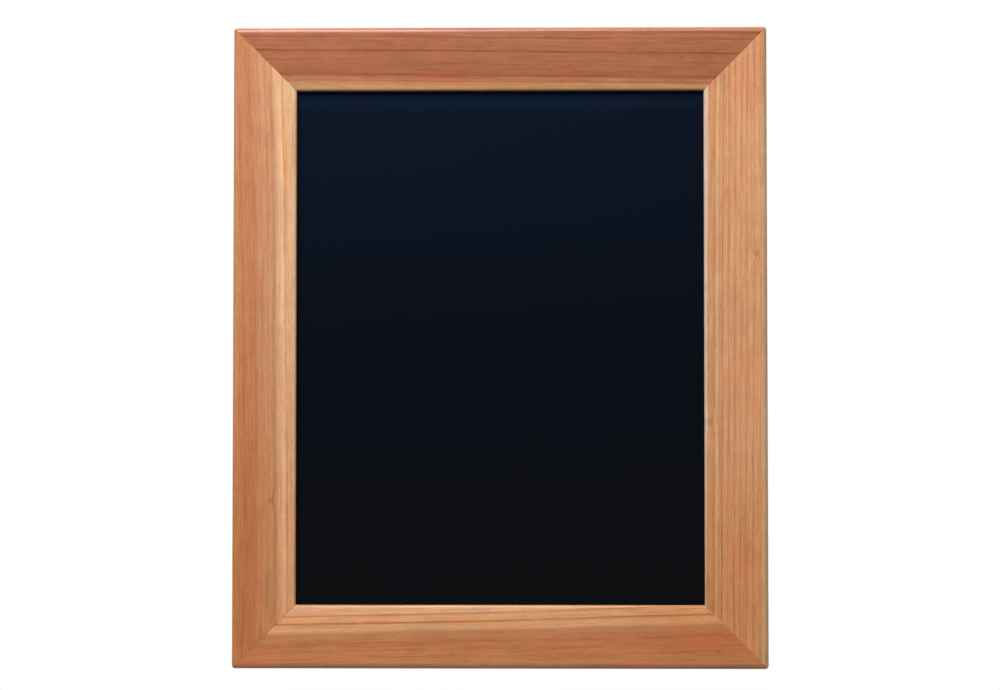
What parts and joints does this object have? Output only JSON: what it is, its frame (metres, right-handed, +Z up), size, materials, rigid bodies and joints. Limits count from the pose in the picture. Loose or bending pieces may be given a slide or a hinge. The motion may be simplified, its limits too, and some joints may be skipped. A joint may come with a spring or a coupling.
{
  "type": "wall chalkboard",
  "caption": "Wall chalkboard: black writing panel in a mitred, sloped cedar moulding, with turn buttons, ring hangers and bumpers on its back.",
  "frame": {"origin": "the point of the wall plane behind the middle of the board", "axes": "+Z up, +X to the right as the board is read, +Y from the board into the wall, so the writing panel looks along -Y"},
  "size_m": [0.508, 0.0291, 0.6096],
  "materials": {
    "cedar": "satin clear lacquer",
    "chalk_coating": "smooth satin slate coating",
    "hardboard": "bare, screen-backed",
    "nail_steel": "bare cold-rolled",
    "zinc_plate": "bright zinc plate",
    "bumper_rubber": "moulded, matt"
  },
  "bodies": {
    "frame": {"top_rail": "cedar", "bottom_rail": "cedar", "left_stile": "cedar", "right_stile": "cedar", "chalk_panel": "chalk_coating", "backing_board": "hardboard", "v_nail_top_right_outer": "nail_steel", "v_nail_top_right_inner": "nail_steel", "v_nail_bottom_right_outer": "nail_steel", "v_nail_bottom_right_inner": "nail_steel", "v_nail_bottom_left_outer": "nail_steel", "v_nail_bottom_left_inner": "nail_steel", "v_nail_top_left_outer": "nail_steel", "v_nail_top_left_inner": "nail_steel", "turn_screw_top": "zinc_plate", "turn_screw_right_upper": "zinc_plate", "turn_screw_right_lower": "zinc_plate", "turn_screw_bottom": "zinc_plate", "turn_screw_left_upper": "zinc_plate", "turn_screw_left_lower": "zinc_plate", "hanger_strap_left": "zinc_plate", "hanger_strap_right": "zinc_plate", "hanger_screw_left_upper": "zinc_plate", "hanger_screw_left_lower": "zinc_plate", "hanger_screw_right_upper": "zinc_plate", "hanger_screw_right_lower": "zinc_plate", "bumper_left": "bumper_rubber", "bumper_right": "bumper_rubber"},
    "ring_left": {"hanger_ring_left": "zinc_plate"},
    "ring_right": {"hanger_ring_right": "zinc_plate"},
    "button_top": {"turn_button_top": "zinc_plate"},
    "button_bottom": {"turn_button_bottom": "zinc_plate"},
    "button_right_upper": {"turn_button_right_upper": "zinc_plate"},
    "button_right_lower": {"turn_button_right_lower": "zinc_plate"},
    "button_left_upper": {"turn_button_left_upper": "zinc_plate"},
    "button_left_lower": {"turn_button_left_lower": "zinc_plate"}
  },
  "joints": [
    {"name": "ring_left_swing", "type": "hinge", "parent": "frame", "child": "ring_left", "pos_m": [-0.229, -0.0026, 0.2198], "axis": [-1, 0, 0], "range_deg": [0, 180]},
    {"name": "ring_right_swing", "type": "hinge", "parent": "frame", "child": "ring_right", "pos_m": [0.229, -0.0026, 0.2198], "axis": [-1, 0, 0], "range_deg": [0, 180]},
    {"name": "button_top_turn", "type": "hinge", "parent": "frame", "child": "button_top", "pos_m": [0, -0.0041, 0.2654], "axis": [0, 1, 0], "continuous": true},
    {"name": "button_bottom_turn", "type": "hinge", "parent": "frame", "child": "button_bottom", "pos_m": [0, -0.0041, -0.2654], "axis": [0, 1, 0], "continuous": true},
    {"name": "button_right_upper_turn", "type": "hinge", "parent": "frame", "child": "button_right_upper", "pos_m": [0.2146, -0.0041, 0.13], "axis": [0, 1, 0], "continuous": true},
    {"name": "button_right_lower_turn", "type": "hinge", "parent": "frame", "child": "button_right_lower", "pos_m": [0.2146, -0.0041, -0.13], "axis": [0, 1, 0], "continuous": true},
    {"name": "button_left_upper_turn", "type": "hinge", "parent": "frame", "child": "button_left_upper", "pos_m": [-0.2146, -0.0041, 0.13], "axis": [0, 1, 0], "continuous": true},
    {"name": "button_left_lower_turn", "type": "hinge", "parent": "frame", "child": "button_left_lower", "pos_m": [-0.2146, -0.0041, -0.13], "axis": [0, 1, 0], "continuous": true}
  ]
}
